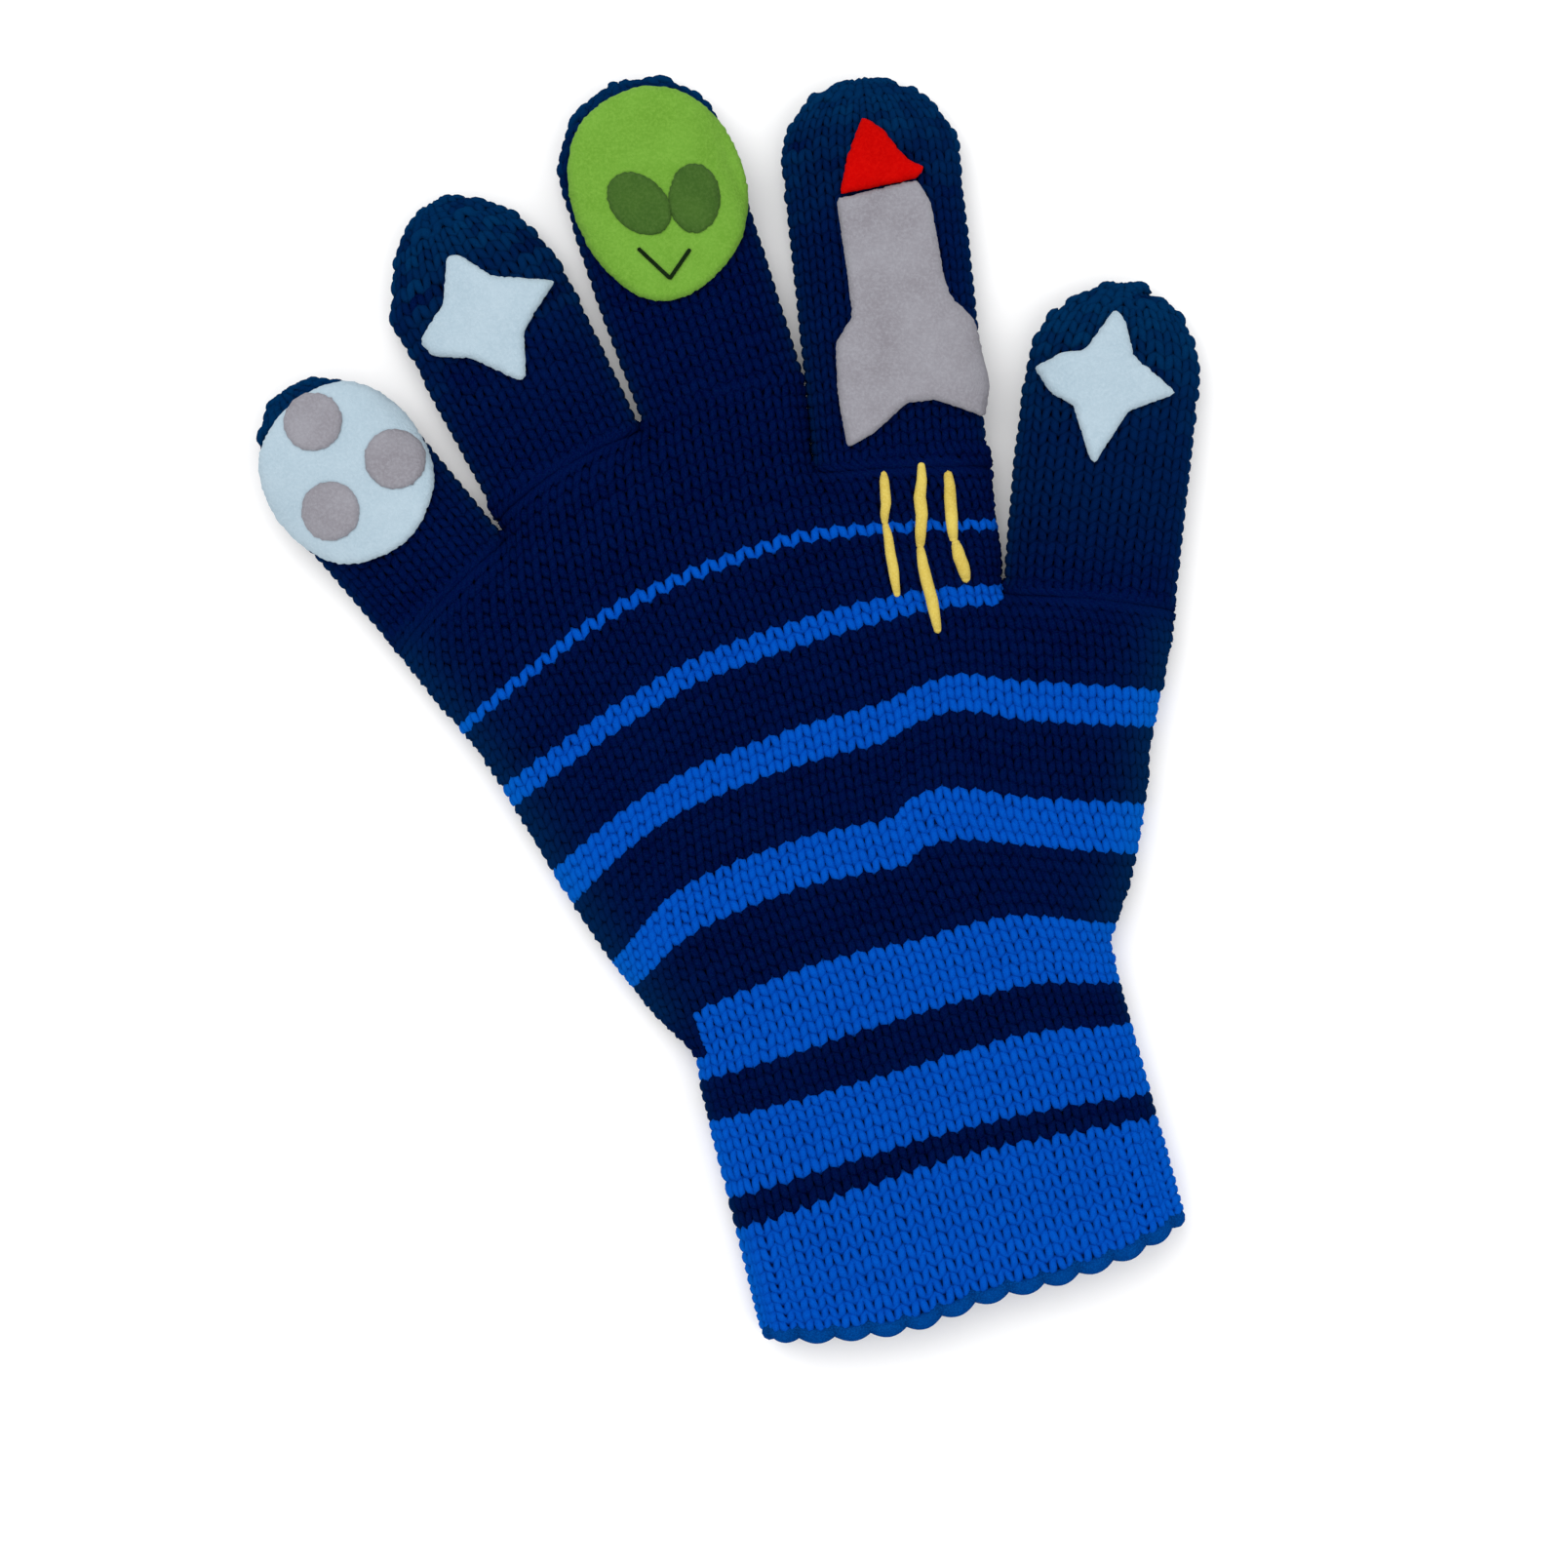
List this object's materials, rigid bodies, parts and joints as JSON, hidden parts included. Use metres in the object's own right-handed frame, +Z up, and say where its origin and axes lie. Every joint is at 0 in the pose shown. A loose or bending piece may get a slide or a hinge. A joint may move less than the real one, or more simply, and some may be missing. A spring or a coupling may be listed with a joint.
{
  "type": "knitted glove",
  "caption": "Child's stretch-knit glove for the right hand with a ribbed elastic cuff, striped palm and felt space shapes on the fingers; finger stalls and cuff fold forward.",
  "frame": {"origin": "centre of the glove's outline on the surface it lies on", "axes": "+Y towards the middle and index fingertips, +X towards the thumb, +Z up out of the palm side (the glove lies on its back)"},
  "size_m": [0.1211, 0.163, 0.012],
  "materials": {
    "navy_knit": "matte brushed acrylic knit",
    "blue_knit": "matte brushed acrylic knit",
    "pale_felt": "fuzzy felt",
    "grey_felt": "fuzzy felt",
    "green_felt": "fuzzy felt",
    "dark_green_felt": "fuzzy felt",
    "red_felt": "fuzzy felt",
    "yellow_yarn": "plied yarn",
    "black_thread": "sewing thread",
    "elastic_thread": "covered elastic"
  },
  "bodies": {
    "palm": {"upper_palm": "navy_knit", "lower_palm": "navy_knit", "flame_stitch_1": "yellow_yarn", "flame_stitch_2": "yellow_yarn", "flame_stitch_3": "yellow_yarn", "flame_stitch_4": "yellow_yarn", "flame_stitch_5": "yellow_yarn", "flame_stitch_6": "yellow_yarn"},
    "little": {"little_finger": "navy_knit", "moon_patch": "pale_felt", "moon_crater_1": "grey_felt", "moon_crater_2": "grey_felt", "moon_crater_3": "grey_felt"},
    "ring": {"ring_finger": "navy_knit", "ring_star_patch": "pale_felt"},
    "middle": {"middle_finger": "navy_knit", "alien_head_patch": "green_felt", "alien_eye_left": "dark_green_felt", "alien_eye_right": "dark_green_felt", "alien_smile": "black_thread"},
    "index": {"index_finger": "navy_knit", "rocket_nose": "red_felt", "rocket_body": "grey_felt"},
    "thumb": {"thumb": "navy_knit", "thumb_star_patch": "pale_felt"},
    "cuff": {"ribbed_cuff": "blue_knit", "cuff_edge": "blue_knit", "cuff_elastic_1": "elastic_thread", "cuff_elastic_2": "elastic_thread", "cuff_elastic_3": "elastic_thread", "cuff_elastic_4": "elastic_thread"}
  },
  "joints": [
    {"name": "little_fold", "type": "hinge", "parent": "palm", "child": "little", "pos_m": [-0.036, 0.0155, 0.01], "axis": [0.7536, 0.6574, 0], "range_deg": [0, 90]},
    {"name": "ring_fold", "type": "hinge", "parent": "palm", "child": "ring", "pos_m": [-0.0211, 0.0315, 0.01], "axis": [0.8902, 0.4555, 0], "range_deg": [0, 90]},
    {"name": "middle_fold", "type": "hinge", "parent": "palm", "child": "middle", "pos_m": [-0.0006, 0.0404, 0.01], "axis": [0.9415, 0.3371, 0], "range_deg": [0, 90]},
    {"name": "index_fold", "type": "hinge", "parent": "palm", "child": "index", "pos_m": [0.0225, 0.0326, 0.01], "axis": [0.9957, 0.0924, 0], "range_deg": [0, 90]},
    {"name": "thumb_fold", "type": "hinge", "parent": "palm", "child": "thumb", "pos_m": [0.0467, 0.0147, 0.01], "axis": [0.9945, -0.1045, 0], "range_deg": [0, 70]},
    {"name": "cuff_fold", "type": "hinge", "parent": "palm", "child": "cuff", "pos_m": [0.0226, -0.0365, 0.011], "axis": [-0.9646, -0.2639, 0], "range_deg": [0, 80]}
  ]
}
